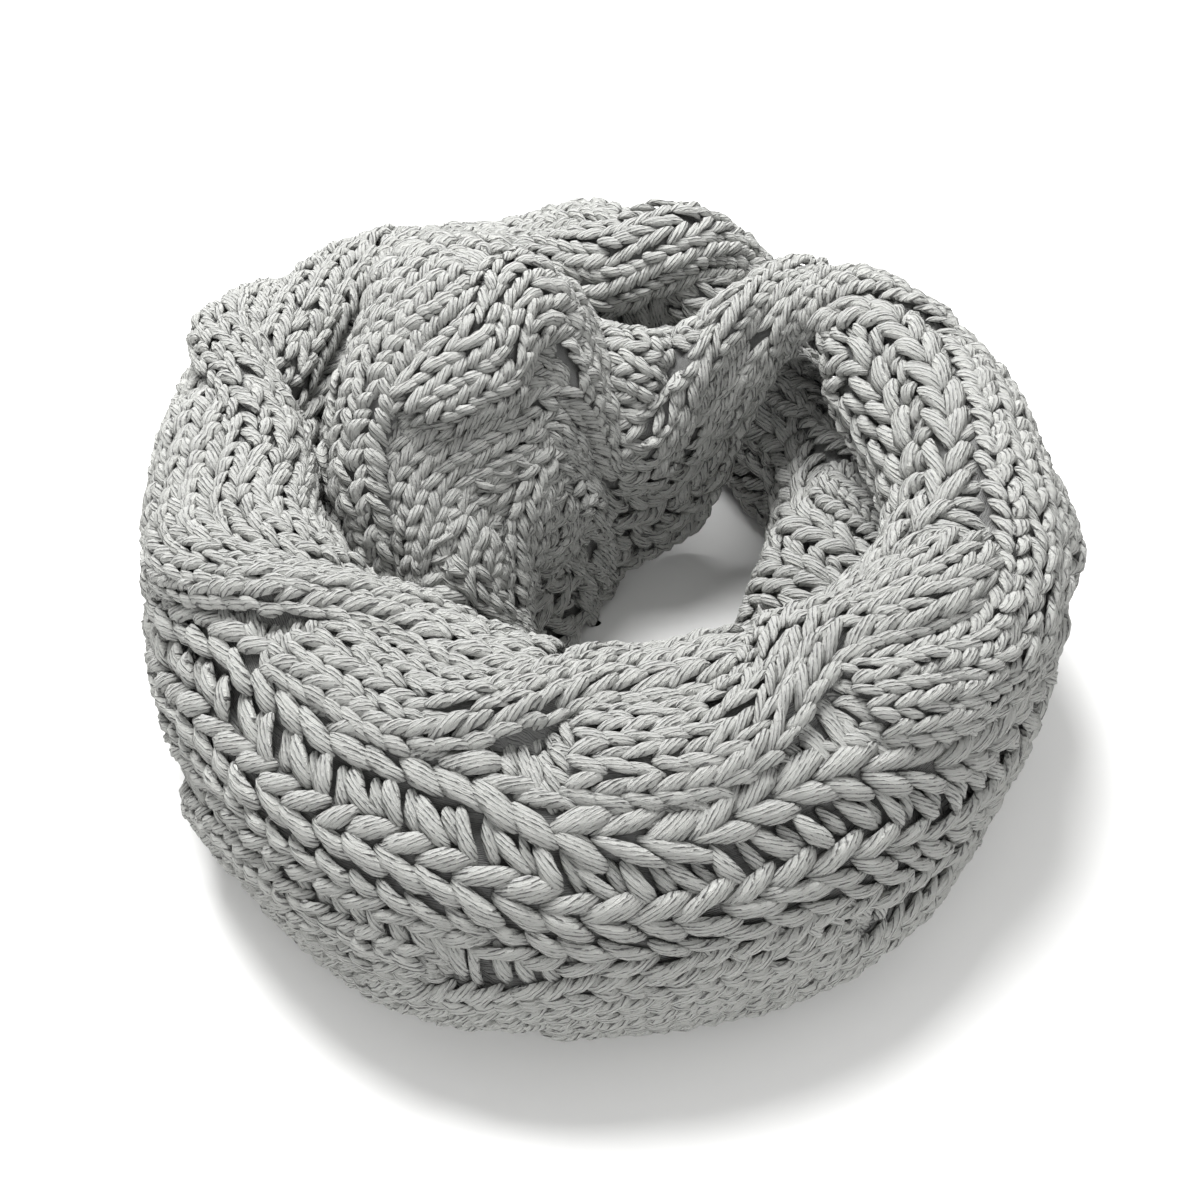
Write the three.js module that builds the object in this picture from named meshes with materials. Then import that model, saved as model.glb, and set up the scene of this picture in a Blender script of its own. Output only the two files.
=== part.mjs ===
// An infinity scarf: one wide band of chunky cable knit, joined end to end and wound twice into a ring.
// It lies on a flat surface, +Z up, in millimetres, with its origin under the middle of its box.
//
// A place on the band is given by its turn, in degrees counted along both rounds of the ring, and by its
// way across the cloth, in millimetres from the inner edge. Turn 0 and 360 point to +X (the right), 90 and
// 450 to the back, 180 and 540 to the left, 270 and 630 to the front. The outer round runs from turn 148 to
// 405, crosses over the other one at the back right, and the inner round runs on to turn 868, where it has
// come out under the crossing and joins the start.
import * as THREE from 'three';

// Driving sizes
const WALL = 4.5;
const SEAM_GAP = 0.3;
const RING_X = 14.19;
const RING_Y = -5.09;
const FIRST_TURN = 148;
const LAST_TURN = 868;

// The knitted pattern across the band, in millimetres of chart. The chart's zero is where the band's edge
// is turned in at the front, so at the other turns the table's chart column says where the edge lies on it.
const CABLE_A = { middle: 60, strand: 36, height: 3.2 };
const CABLE_B = { middle: 178, strand: 27, height: 2.4 };
const CABLE_A_START = CABLE_A.middle - CABLE_A.strand;
const CABLE_A_END = CABLE_A.middle + CABLE_A.strand;
const CABLE_B_START = CABLE_B.middle - CABLE_B.strand;
const CABLE_B_END = CABLE_B.middle + CABLE_B.strand;
const RIB_HEIGHT = 1.7;
const RIB_PITCH = 19;
const BIG_RIBS = [
  { middle: 105, half: 9 },
  { middle: 130, half: 8 },
  { middle: 144.5, half: 6.5 },
];
// Turns at which the two strands of a cable change places, the last of them being the first one again, and
// the degrees from there at which the strand on top sets off and arrives, and the one beneath
const CROSSINGS = [158, 205, 252, 302, 350, 396, 440, 484, 524, 570, 620, 670, 720, 762, 808, 850, 878];
const OVER_TURNS = [-22, 16];
const UNDER_TURNS = [-8, 7];

// Sections of the cloth, one row for each turn where the form changes. Radii are from the ring's centre
// and heights from the floor: the inner edge, the inner side, the crest, the outer side and the outer hem.
// A hem below the floor is laid flat on it. The last column is the chart place of the inner edge.
const COLUMNS = ['turn', 'edgeR', 'edgeZ', 'inR', 'inZ', 'topR', 'topZ', 'outR', 'outZ', 'hemR', 'hemZ', 'chart'];
const SECTIONS = [
  [148, 128, 12, 126, 60, 156, 98, 190, 46, 152, -5, -50],
  [165, 114, 14, 112, 60, 144, 104, 177, 48, 136, -5, -42],
  [185, 95, 54, 92, 66, 128, 105, 168, 50, 124, -5, -22],
  [210, 76, 62, 71, 72, 116, 104, 166, 50, 118, -5, 0],
  [240, 56, 64, 53, 72, 107, 103, 166, 48, 116, -5, 0],
  [270, 50, 66, 48, 72, 100, 104, 155, 47, 114, -5, 0],
  [300, 49, 66, 47, 72, 97, 106, 146, 48, 112, -5, -2],
  [330, 66, 72, 63, 80, 98, 111, 139, 50, 110, -5, -17],
  [360, 82, 74, 79, 84, 103, 116, 143, 54, 108, -5, -33],
  [385, 85, 78, 81, 90, 106, 121, 138, 58, 110, -5, -40],
  [402, 88, 84, 85, 96, 108, 119, 134, 66, 122, 8, -32],
  [410, 95, 101, 93, 106, 107, 116, 131, 78, 125, 38, 3],
  [418, 92, 80, 88, 92, 101, 111, 127, 88, 125, 66, 18],
  [425, 79, 38, 74, 77, 96, 109, 122, 94, 121, 84, -3],
  [430, 69, 14, 67, 66, 90, 107, 112, 91, 110, 82, -18],
  [435, 64, 8, 61, 56, 84, 104, 102, 88, 100, 80, -17],
  [445, 54, 8, 52, 46, 74, 100, 93, 76, 91, 64, -14],
  [455, 47, 8, 46, 42, 73, 98, 97, 79, 96, 66, -20],
  [463, 42, 7, 43, 43, 76, 97, 112, 94, 111, 85, -26],
  [472, 36, 6, 39, 46, 84, 119, 127, 106, 126, 97, -57],
  [482, 32, 6, 37, 48, 89, 131, 138, 109, 137, 100, -79],
  [490, 31, 6, 36, 48, 90, 132, 138, 108, 137, 99, -84],
  [498, 29, 6, 35, 48, 88, 130, 130, 107, 129, 97, -84],
  [508, 28, 6, 34, 46, 88, 120, 117, 90, 117, 50, -84],
  [518, 28, 6, 36, 43, 90, 108, 109, 84, 109, 30, -84],
  [527, 29, 6, 38, 40, 88, 95, 101, 72, 102, 18, -84],
  [536, 30, 6, 38, 37, 80, 82, 92, 58, 97, 12, -80],
  [547, 32, 6, 38, 33, 70, 64, 84, 40, 92, 8, -74],
  [560, 34, 6, 38, 30, 62, 50, 84, 28, 90, 8, -68],
  [580, 40, 6, 41, 26, 68, 46, 100, 24, 98, 6, -64],
  [600, 42, 6, 43, 26, 72, 48, 104, 24, 100, 6, -64],
  [640, 44, 6, 44, 26, 72, 50, 102, 24, 98, 6, -64],
  [680, 42, 6, 42, 26, 72, 50, 100, 24, 96, 6, -70],
  [712, 38, 6, 38, 28, 70, 56, 100, 28, 97, 6, -78],
  [738, 37, 6, 38, 30, 72, 62, 102, 30, 98, 6, -56],
  [752, 46, 6, 48, 30, 80, 62, 106, 30, 98, 6, -40],
  [766, 68, 6, 68, 30, 92, 58, 114, 30, 102, 6, -32],
  [776, 86, 6, 84, 28, 106, 58, 127, 30, 114, 0, -30],
  [786, 92, 8, 90, 30, 120, 68, 148, 38, 126, -3, -28],
  [796, 104, 20, 101, 42, 132, 88, 160, 46, 134, -5, -20],
  [806, 110, 30, 108, 56, 136, 103, 162, 50, 134, -5, -15],
  [816, 112, 30, 109, 56, 138, 98, 166, 50, 138, -5, -18],
  [828, 111, 30, 109, 50, 141, 88, 176, 44, 142, -5, -30],
  [850, 121, 22, 118, 50, 149, 88, 192, 44, 151, -5, -46],
  [868, 128, 12, 126, 60, 156, 98, 190, 46, 152, -5, -50],
];

// One mesh for each stretch of the band that shows: the turns it spans, the degrees between its rings, how
// many rows cross the edge panel, and the chart places of the rows after it. The rows that follow the last
// of those are spread evenly to the hem.
const FULL_CHART = [33, 42, 51, 60, 69, 78, 87, 96, 105, 114, 122, 130, 137.5, 144.5, 151,
  160, 169, 178, 187, 196, 205];
const STRETCHES = [
  { name: 'left_outer', from: 148, to: 230, step: 5.5, edgeRows: 4, chartRows: FULL_CHART, hemRows: 3 },
  { name: 'front_outer', from: 230, to: 320, step: 5.5, edgeRows: 4, chartRows: FULL_CHART, hemRows: 3 },
  { name: 'right_outer', from: 320, to: 405, step: 5.5, edgeRows: 6, chartRows: FULL_CHART.slice(0, 12), hemRows: 8 },
  { name: 'back_over', from: 405, to: 466, step: 5, edgeRows: 6, chartRows: [], hemRows: 14 },
  { name: 'left_over', from: 466, to: 547, step: 5, edgeRows: 8, chartRows: [], hemRows: 13 },
  { name: 'front_inner', from: 547, to: 735, step: 9, edgeRows: 8, chartRows: [], hemRows: 6 },
  { name: 'right_inner', from: 735, to: 788, step: 5, edgeRows: 10, chartRows: [], hemRows: 8 },
  { name: 'back_under', from: 788, to: 868, step: 5.5, edgeRows: 5, chartRows: [], hemRows: 16 },
];

const COLOURS = {
  left_outer: '#b7b8b2',
  front_outer: '#a3a39f',
  right_outer: '#9f9e9b',
  back_over: '#83837f',
  left_over: '#8e8f8c',
  front_inner: '#777773',
  right_inner: '#7d7d79',
  back_under: '#999a96',
};

// The table's numbers at any turn, on a smooth curve through its rows
function sectionAt(turn) {
  let i = SECTIONS.findIndex((row) => row[0] > turn) - 1;
  if (i < 0) i = SECTIONS.length - 2;
  const slopeAt = (row, column) => {
    const last = SECTIONS.length - 1;
    const before = row > 0 ? row - 1 : last - 1;
    const after = row < last ? row + 1 : 1;
    const stepBefore = row > 0 ? SECTIONS[row][0] - SECTIONS[before][0] : SECTIONS[last][0] - SECTIONS[before][0];
    const stepAfter = row < last ? SECTIONS[after][0] - SECTIONS[row][0] : SECTIONS[1][0] - SECTIONS[0][0];
    const riseBefore = (SECTIONS[row > 0 ? row : last][column] - SECTIONS[before][column]) / stepBefore;
    const riseAfter = (SECTIONS[after][column] - SECTIONS[row < last ? row : 0][column]) / stepAfter;
    return (riseBefore * stepAfter + riseAfter * stepBefore) / (stepBefore + stepAfter);
  };
  const span = SECTIONS[i + 1][0] - SECTIONS[i][0];
  const u = (turn - SECTIONS[i][0]) / span;
  const section = {};
  COLUMNS.forEach((name, column) => {
    const a = SECTIONS[i][column];
    const b = SECTIONS[i + 1][column];
    const slopeA = slopeAt(i, column) * span;
    const slopeB = slopeAt(i + 1, column) * span;
    section[name] = (2 * u ** 3 - 3 * u ** 2 + 1) * a + (u ** 3 - 2 * u ** 2 + u) * slopeA
      + (3 * u ** 2 - 2 * u ** 3) * b + (u ** 3 - u ** 2) * slopeB;
  });
  return section;
}

// The section as a curve of radius and height: a bend from the edge to the inner side, then three quarters
// of ellipses over the crest, down the outer side and under to the hem, none of it below the floor
class SectionCurve extends THREE.Curve {
  constructor(section) {
    super();
    this.section = section;
    this.arcLengthDivisions = 240;
  }

  getPoint(t) {
    const s = this.section;
    const piece = Math.min(3, Math.floor(t * 4));
    const k = t * 4 - piece;
    const angle = k * Math.PI / 2;
    const [sine, cosine] = [Math.sin(angle), Math.cos(angle)];
    const pieces = [
      [s.inR + (s.edgeR - s.inR) * (1 - k) ** 2, s.edgeZ + (s.inZ - s.edgeZ) * k],
      [s.topR - (s.topR - s.inR) * cosine, s.inZ + (s.topZ - s.inZ) * sine],
      [s.topR + (s.outR - s.topR) * sine, s.outZ + (s.topZ - s.outZ) * cosine],
      [s.hemR + (s.outR - s.hemR) * cosine, s.outZ + (s.hemZ - s.outZ) * sine],
    ];
    const [radius, height] = pieces[piece];
    return new THREE.Vector3(radius, Math.max(0, height), 0);
  }
}

const smoothStep = (x) => {
  const k = THREE.MathUtils.clamp(x, 0, 1);
  return k * k * (3 - 2 * k);
};

const dome = (distance, half) => Math.sqrt(Math.max(0, 1 - (distance / half) ** 2));

// Height of a rope cable of two strands. At each crossing the strand that comes from the hem's side passes
// over to the edge's side on a long slant, as the turn grows, and the other one dips under it quickly.
function cableHeight(turn, chart, cable) {
  const overMiddle = (OVER_TURNS[0] + OVER_TURNS[1]) / 2;
  const apart = (crossing) => Math.abs(turn - crossing - overMiddle);
  const nearest = CROSSINGS.reduce((a, b) => (apart(b) < apart(a) ? b : a));
  const shareOf = ([start, end]) => THREE.MathUtils.clamp((turn - nearest - start) / (end - start), 0, 1);
  const overShare = shareOf(OVER_TURNS);
  const underShare = shareOf(UNDER_TURNS);
  const half = cable.strand / 2;
  const overCentre = cable.middle + half * (1 - 2 * smoothStep(overShare));
  const underCentre = cable.middle - half * (1 - 2 * smoothStep(underShare));
  const over = dome(chart - overCentre, half) * (1 + overShare * (1 - overShare));
  const under = dome(chart - underCentre, half) * (1 - 3.2 * underShare * (1 - underShare));
  return cable.height * Math.max(over, under);
}

// Height of the knitted pattern over the plain cloth
function relief(turn, chart) {
  if (chart < CABLE_A_START) {
    const fromCable = (CABLE_A_START - chart) / RIB_PITCH;
    return RIB_HEIGHT * Math.abs(Math.sin(Math.PI * fromCable));
  }
  if (chart < CABLE_A_END) return cableHeight(turn, chart, CABLE_A);
  if (chart < CABLE_B_START) {
    return RIB_HEIGHT * Math.max(...BIG_RIBS.map((rib) => dome(chart - rib.middle, rib.half)));
  }
  if (chart < CABLE_B_END) return cableHeight(turn, chart, CABLE_B);
  return 0;
}

// The places across the cloth of a stretch's rows, in millimetres from the edge, with the chart place of
// each: first the edge panel up to the first cable, then the named rows, then the rest up to the hem
function rowsAt(stretch, edgeChart, width) {
  const panelEnd = Math.min(CABLE_A_START - edgeChart, width * 0.75);
  const rows = [];
  for (let i = 0; i <= stretch.edgeRows; i += 1) rows.push(panelEnd * i / stretch.edgeRows);
  stretch.chartRows.forEach((chart) => rows.push(chart - edgeChart));
  const start = rows[rows.length - 1];
  for (let i = 1; i <= stretch.hemRows; i += 1) rows.push(start + (width - start) * i / stretch.hemRows);
  return rows;
}

// One ring of a stretch: points of the plain cloth at a turn, moved along the ring by `shift`
function ringAt(stretch, turn, shift) {
  const section = sectionAt(turn);
  const curve = new SectionCurve(section);
  const width = curve.getLength();
  const angle = THREE.MathUtils.degToRad(turn);
  const outward = new THREE.Vector3(Math.cos(angle), Math.sin(angle), 0);
  const along = new THREE.Vector3(-Math.sin(angle), Math.cos(angle), 0);
  return rowsAt(stretch, section.chart, width).map((across) => {
    const flat = curve.getPointAt(THREE.MathUtils.clamp(across / width, 0, 1));
    const point = new THREE.Vector3(RING_X, RING_Y, flat.y)
      .addScaledVector(outward, flat.x)
      .addScaledVector(along, shift);
    return { point, turn, chart: across + section.chart };
  });
}

// A closed wall of cloth: the plain inner face, and the outer face raised by the pattern
function clothGeometry(stretch) {
  const steps = Math.round((stretch.to - stretch.from) / stretch.step);
  const rings = [];
  for (let i = 0; i <= steps; i += 1) {
    const turn = THREE.MathUtils.lerp(stretch.from, stretch.to, i / steps);
    const shift = (i === 0 ? 1 : 0) * SEAM_GAP / 2 - (i === steps ? 1 : 0) * SEAM_GAP / 2;
    rings.push(ringAt(stretch, Math.min(turn, LAST_TURN), shift));
  }
  const across = rings[0].length;
  const normalAt = (i, j) => {
    const left = rings[Math.max(0, i - 1)][j].point;
    const right = rings[Math.min(steps, i + 1)][j].point;
    const inner = rings[i][Math.max(0, j - 1)].point;
    const outer = rings[i][Math.min(across - 1, j + 1)].point;
    const normal = outer.clone().sub(inner).cross(right.clone().sub(left)).normalize();
    if (i === 0 || i === steps) {
      const angle = THREE.MathUtils.degToRad(rings[i][j].turn);
      const along = new THREE.Vector3(-Math.sin(angle), Math.cos(angle), 0);
      normal.addScaledVector(along, -normal.dot(along)).normalize();
    }
    return normal;
  };
  const positions = [];
  for (let i = 0; i <= steps; i += 1) {
    for (let j = 0; j < across; j += 1) {
      const { point, turn, chart } = rings[i][j];
      const normal = normalAt(i, j);
      const raised = point.clone().addScaledVector(normal, relief(turn, chart));
      const plain = point.clone().addScaledVector(normal, -WALL);
      raised.z = Math.max(0, raised.z);
      plain.z = Math.max(WALL / 3, plain.z);
      positions.push(...raised.toArray(), ...plain.toArray());
    }
  }
  const face = (i, j, side) => (i * across + j) * 2 + side;
  const index = [];
  const quad = (a, b, c, d) => index.push(a, b, c, a, c, d);
  for (let i = 0; i < steps; i += 1) {
    for (let j = 0; j < across - 1; j += 1) {
      quad(face(i, j, 0), face(i, j + 1, 0), face(i + 1, j + 1, 0), face(i + 1, j, 0));
      quad(face(i, j, 1), face(i + 1, j, 1), face(i + 1, j + 1, 1), face(i, j + 1, 1));
    }
    const hem = across - 1;
    quad(face(i, 0, 0), face(i + 1, 0, 0), face(i + 1, 0, 1), face(i, 0, 1));
    quad(face(i, hem, 0), face(i, hem, 1), face(i + 1, hem, 1), face(i + 1, hem, 0));
  }
  for (let j = 0; j < across - 1; j += 1) {
    quad(face(0, j, 0), face(0, j, 1), face(0, j + 1, 1), face(0, j + 1, 0));
    quad(face(steps, j, 0), face(steps, j + 1, 0), face(steps, j + 1, 1), face(steps, j, 1));
  }
  const geometry = new THREE.BufferGeometry();
  geometry.setAttribute('position', new THREE.Float32BufferAttribute(positions, 3));
  geometry.setIndex(index);
  geometry.computeVertexNormals();
  return geometry;
}

const scarf = new THREE.Group();
scarf.name = 'infinity_scarf';
STRETCHES.forEach((stretch) => {
  const wool = new THREE.MeshStandardMaterial({ color: COLOURS[stretch.name], roughness: 0.95, metalness: 0 });
  const mesh = new THREE.Mesh(clothGeometry(stretch), wool);
  mesh.name = stretch.name;
  scarf.add(mesh);
});

export default scarf;
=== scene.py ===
"""A chunky cable-knit infinity scarf, wound twice into a ring, for Blender 4.5.

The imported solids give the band's stretches. Each one is replaced by a thin sheet of cloth, and the knit is
laid on it stitch by stitch: rope cables of stockinette columns, big open ribs, and the bars between them.
A place on the band is given by its turn, in degrees along both rounds, and by its chart, the knitted
pattern's own scale across the band, in millimetres. The band's inner edge is at another place of the chart
from turn to turn.
"""
import math

import bmesh
import bpy
import numpy as np
from bpy.props import FloatProperty, FloatVectorProperty, PointerProperty
from mathutils import Matrix, Vector


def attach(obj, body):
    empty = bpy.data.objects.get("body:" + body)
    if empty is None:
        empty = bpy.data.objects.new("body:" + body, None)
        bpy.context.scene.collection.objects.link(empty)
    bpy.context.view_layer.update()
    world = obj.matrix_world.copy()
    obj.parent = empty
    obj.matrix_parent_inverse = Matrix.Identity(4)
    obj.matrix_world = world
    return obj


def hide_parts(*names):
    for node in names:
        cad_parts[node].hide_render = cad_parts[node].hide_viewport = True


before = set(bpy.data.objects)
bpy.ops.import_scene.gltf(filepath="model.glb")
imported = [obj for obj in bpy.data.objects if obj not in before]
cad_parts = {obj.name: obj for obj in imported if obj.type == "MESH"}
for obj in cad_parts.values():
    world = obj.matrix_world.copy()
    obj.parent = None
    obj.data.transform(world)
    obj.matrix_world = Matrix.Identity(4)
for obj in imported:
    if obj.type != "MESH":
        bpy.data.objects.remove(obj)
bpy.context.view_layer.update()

bl_info = {
    "name": "Cable-knit infinity scarf",
    "version": (1, 0, 0),
    "blender": (4, 5, 0),
    "location": "3D View > Sidebar > Scarf",
    "description": "Builds the knit of a double-wound infinity scarf on its packed solids",
    "category": "Object",
}

MM = 0.001
TINY = 1e-9

# The ring, as in the solids, in millimetres and degrees
RING_X = 14.19
RING_Y = -5.09
FIRST_TURN = 148
LAST_TURN = 868
COLUMNS = ("turn", "edgeR", "edgeZ", "inR", "inZ", "topR", "topZ", "outR", "outZ", "hemR", "hemZ", "chart")
SECTIONS = (
    (148, 128, 12, 126, 60, 156, 98, 190, 46, 152, -5, -50),
    (165, 114, 14, 112, 60, 144, 104, 177, 48, 136, -5, -42),
    (185, 95, 54, 92, 66, 128, 105, 168, 50, 124, -5, -22),
    (210, 76, 62, 71, 72, 116, 104, 166, 50, 118, -5, 0),
    (240, 56, 64, 53, 72, 107, 103, 166, 48, 116, -5, 0),
    (270, 50, 66, 48, 72, 100, 104, 155, 47, 114, -5, 0),
    (300, 49, 66, 47, 72, 97, 106, 146, 48, 112, -5, -2),
    (330, 66, 72, 63, 80, 98, 111, 139, 50, 110, -5, -17),
    (360, 82, 74, 79, 84, 103, 116, 143, 54, 108, -5, -33),
    (385, 85, 78, 81, 90, 106, 121, 138, 58, 110, -5, -40),
    (402, 88, 84, 85, 96, 108, 119, 134, 66, 122, 8, -32),
    (410, 95, 101, 93, 106, 107, 116, 131, 78, 125, 38, 3),
    (418, 92, 80, 88, 92, 101, 111, 127, 88, 125, 66, 18),
    (425, 79, 38, 74, 77, 96, 109, 122, 94, 121, 84, -3),
    (430, 69, 14, 67, 66, 90, 107, 112, 91, 110, 82, -18),
    (435, 64, 8, 61, 56, 84, 104, 102, 88, 100, 80, -17),
    (445, 54, 8, 52, 46, 74, 100, 93, 76, 91, 64, -14),
    (455, 47, 8, 46, 42, 73, 98, 97, 79, 96, 66, -20),
    (463, 42, 7, 43, 43, 76, 97, 112, 94, 111, 85, -26),
    (472, 36, 6, 39, 46, 84, 119, 127, 106, 126, 97, -57),
    (482, 32, 6, 37, 48, 89, 131, 138, 109, 137, 100, -79),
    (490, 31, 6, 36, 48, 90, 132, 138, 108, 137, 99, -84),
    (498, 29, 6, 35, 48, 88, 130, 130, 107, 129, 97, -84),
    (508, 28, 6, 34, 46, 88, 120, 117, 90, 117, 50, -84),
    (518, 28, 6, 36, 43, 90, 108, 109, 84, 109, 30, -84),
    (527, 29, 6, 38, 40, 88, 95, 101, 72, 102, 18, -84),
    (536, 30, 6, 38, 37, 80, 82, 92, 58, 97, 12, -80),
    (547, 32, 6, 38, 33, 70, 64, 84, 40, 92, 8, -74),
    (560, 34, 6, 38, 30, 62, 50, 84, 28, 90, 8, -68),
    (580, 40, 6, 41, 26, 68, 46, 100, 24, 98, 6, -64),
    (600, 42, 6, 43, 26, 72, 48, 104, 24, 100, 6, -64),
    (640, 44, 6, 44, 26, 72, 50, 102, 24, 98, 6, -64),
    (680, 42, 6, 42, 26, 72, 50, 100, 24, 96, 6, -70),
    (712, 38, 6, 38, 28, 70, 56, 100, 28, 97, 6, -78),
    (738, 37, 6, 38, 30, 72, 62, 102, 30, 98, 6, -56),
    (752, 46, 6, 48, 30, 80, 62, 106, 30, 98, 6, -40),
    (766, 68, 6, 68, 30, 92, 58, 114, 30, 102, 6, -32),
    (776, 86, 6, 84, 28, 106, 58, 127, 30, 114, 0, -30),
    (786, 92, 8, 90, 30, 120, 68, 148, 38, 126, -3, -28),
    (796, 104, 20, 101, 42, 132, 88, 160, 46, 134, -5, -20),
    (806, 110, 30, 108, 56, 136, 103, 162, 50, 134, -5, -15),
    (816, 112, 30, 109, 56, 138, 98, 166, 50, 138, -5, -18),
    (828, 111, 30, 109, 50, 141, 88, 176, 44, 142, -5, -30),
    (850, 121, 22, 118, 50, 149, 88, 192, 44, 151, -5, -46),
    (868, 128, 12, 126, 60, 156, 98, 190, 46, 152, -5, -50),
)

# The stretches of the band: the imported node, its first and last turn, and the stretches that it rests on
STRETCHES = (
    ("left_outer", 148, 230, ()),
    ("front_outer", 230, 320, ("front_inner",)),
    ("right_outer", 320, 405, ("right_inner",)),
    ("back_over", 405, 466, ("back_under",)),
    ("left_over", 466, 547, ("left_outer",)),
    ("front_inner", 547, 735, ()),
    ("right_inner", 735, 788, ()),
    ("back_under", 788, 868, ()),
)

# The pattern across the band, in millimetres of chart. It is the same on both sides of the first cable.
CABLE_A = {"middle": 60.0, "strand": 36.0, "columns": 4, "height": 8.5}
CABLE_B = {"middle": 178.0, "strand": 27.0, "columns": 3, "height": 4.5}
CABLE_C = {"middle": -58.0, "strand": 27.0, "columns": 3, "height": 4.5}
CABLES = (CABLE_A, CABLE_B, CABLE_C)
CROSSINGS = (158, 205, 252, 302, 350, 396, 440, 484, 524, 570, 620, 670, 720, 762, 808, 850)
# The turns before and after a crossing at which the strand on top sets off and arrives, and the one beneath
OVER_STARTS, OVER_ENDS = -22.0, 16.0
UNDER_STARTS, UNDER_ENDS = -8.0, 7.0
# How a strand's top rises where it passes over the other strand and sinks where it passes under: as shares of
# its height, and in millimetres. Its round top runs on past its sides by the margin.
OVER_SHARE, UNDER_SHARE = 0.3, 0.9
OVER_RISE, UNDER_SINK = 1.0, 1.5
STRAND_MARGIN = 1.0
# Ribs: middle, half the width, the distance from stitch to stitch, and +1 where the stitches open with the
# turn or -1 against it
RIBS = (
    (105.0, 8.5, 10.5, 1), (130.5, 8.0, 10.5, 1), (144.5, 6.5, 9.5, -1),
    (15.0, 8.0, 10.0, 1), (-7.0, 8.0, 10.0, 1), (-23.0, 7.0, 9.5, -1),
    (214.0, 7.0, 10.5, 1), (233.0, 7.0, 10.5, 1), (252.0, 7.0, 10.5, 1),
    (-95.0, 7.0, 10.5, 1), (-114.0, 7.0, 10.5, 1),
)
# Open gutters with bars: middle, half the width, and the distance from bar to bar
GUTTERS = (
    (118.5, 6.0, 10.5), (95.0, 3.0, 8.5), (4.0, 3.5, 7.5),
    (223.5, 3.5, 10.5), (242.5, 3.5, 10.5), (-104.5, 3.5, 10.5),
)
# The ribs near the first cable are drawn to it: how far, how many degrees before each crossing, and how many
# degrees that reaches to each side. At the front left they are drawn over a longer stretch. The pull is full at
# one place across the band and gone at a distance from it.
DRAWN_MOST, DRAWN_BEFORE, DRAWN_SPREAD = 6.0, 8.0, 17.0
LEFT_DRAWN_MOST = 8.0
LEFT_DRAWN_TURNS = (180.0, 205.0, 228.0, 268.0)
DRAWN_CHART, DRAWN_REACH = 105.0, 60.0
# At the back left a pleat hides the ribs between the cables A and C and draws the rest together: how far, where
# across the band, the turns between which it closes and opens, and the share from which it counts as closed
PLEAT = 35.0
PLEAT_CHARTS = (-30.0, -5.0)
PLEAT_TURNS = (462.0, 470.0, 542.0, 552.0)
PLEAT_CLOSED = 0.3
# Plain columns that show in the pleat beside the cables: their places, half their width, their height, and the
# highest place of a rib that they take over
PLEAT_COLUMNS = (-12.0, -3.0, 6.0, 15.0, 24.0, 33.0, 42.0)
PLEAT_HALF = 4.5
PLEAT_LIFT = -3.0
PLEAT_RIBS_TO = 20.0
# Places beside a cable where bars fill the room that its strands leave: the cable, whether it is the hem's
# side, and the rib that stands there
FILLINGS = (
    (CABLE_A, True, RIBS[0]), (CABLE_A, False, RIBS[3]),
    (CABLE_B, False, RIBS[2]), (CABLE_B, True, RIBS[6]),
    (CABLE_C, True, RIBS[5]), (CABLE_C, False, RIBS[9]),
)
# The least and most room that is filled, the distance from bar to bar, how much longer than the room a bar is,
# and where in its half width a rib begins to hide it
FILLING_LEAST, FILLING_MOST = 2.0, 30.0
FILLING_PITCH = 6.2
FILLING_OVERLAP = 9.0
FILLING_BAR = {"run": 7.0, "width": 5.2, "thick": 3.8, "lift": -3.8, "arch": 1.4}
RIB_FLANK = 0.7

# Heights over the plain cloth, in millimetres: the foot of a cable, of a rib, the ground, the ground's rise
# under a rib, and an open gutter
CABLE_FOOT = -4.5
RIB_FOOT = -2.2
GROUND = -4.0
RIB_GROUND_RISE = 2.0
GUTTER_GROUND = -7.0
# Stitches, for a column of half the width 1 and rows 1 apart: how far a leg reaches along the column, how
# far it spreads across, its width and thickness in millimetres, and the height of its arch
STOCKINETTE = {"reach": 1.72, "spread": 0.86, "width": 4.9, "thick": 3.8, "arch": 1.6}
BIG_RIB = {"reach": 1.5, "spread": 0.94, "width": 6.4, "thick": 4.8, "arch": 2.3}
EDGE_CHAIN = {"reach": 1.4, "spread": 0.8, "width": 4.4, "thick": 4.4, "arch": 1.4}
BIG_RIB_HALF = 8.0
CABLE_PITCH = 6.0
EDGE_PITCH = 7.5
EDGE_HALF = 4.0
EDGE_INSET = 2.5
EDGE_LIFT = -1.0
# Where a leg's middle lies between its column's middle line and side
LEG_PLACE = 0.5
# Where askew cloth leaves a column less than these shares of its width, one column of a cable is knitted in
# place of two, and in place of four. The width of its legs changes within the limits.
CROWDED = (0.5, 0.27)
LEG_WIDTH_LIMITS = (0.8, 1.25)
# The bars in a gutter and the yarn that runs behind them: the run and width as shares of the distance from bar
# to bar, the rise as a share of half the gutter's width, and the rest in millimetres
BAR = {"run": 0.95, "rise": 2.4, "width": 0.52, "thick": 4.6, "lift": -3.0, "arch": 2.0}
BAR_BEHIND = {"run": 0.6, "rise": 2.2, "width": 0.46, "thick": 3.6, "lift": -5.2, "arch": 0.8}
# The bars stand in pairs: every other one is moved on, leans more and lies lower, and the rest the other way
PAIR_SHIFT, PAIR_RUN, PAIR_LIFT = 0.06, 0.2, 0.5
# How far the knit is stretched along the band, by turn
STRETCH_TURNS = (148, 200, 240, 270, 310, 350, 400, 440, 868)
STRETCH_SHARES = (1.05, 1.08, 1.18, 1.35, 1.32, 1.2, 1.1, 1.0, 1.0)
# Degrees from point to point of the way along which a column's stitches are spaced
WAY_STEP = 0.25
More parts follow.
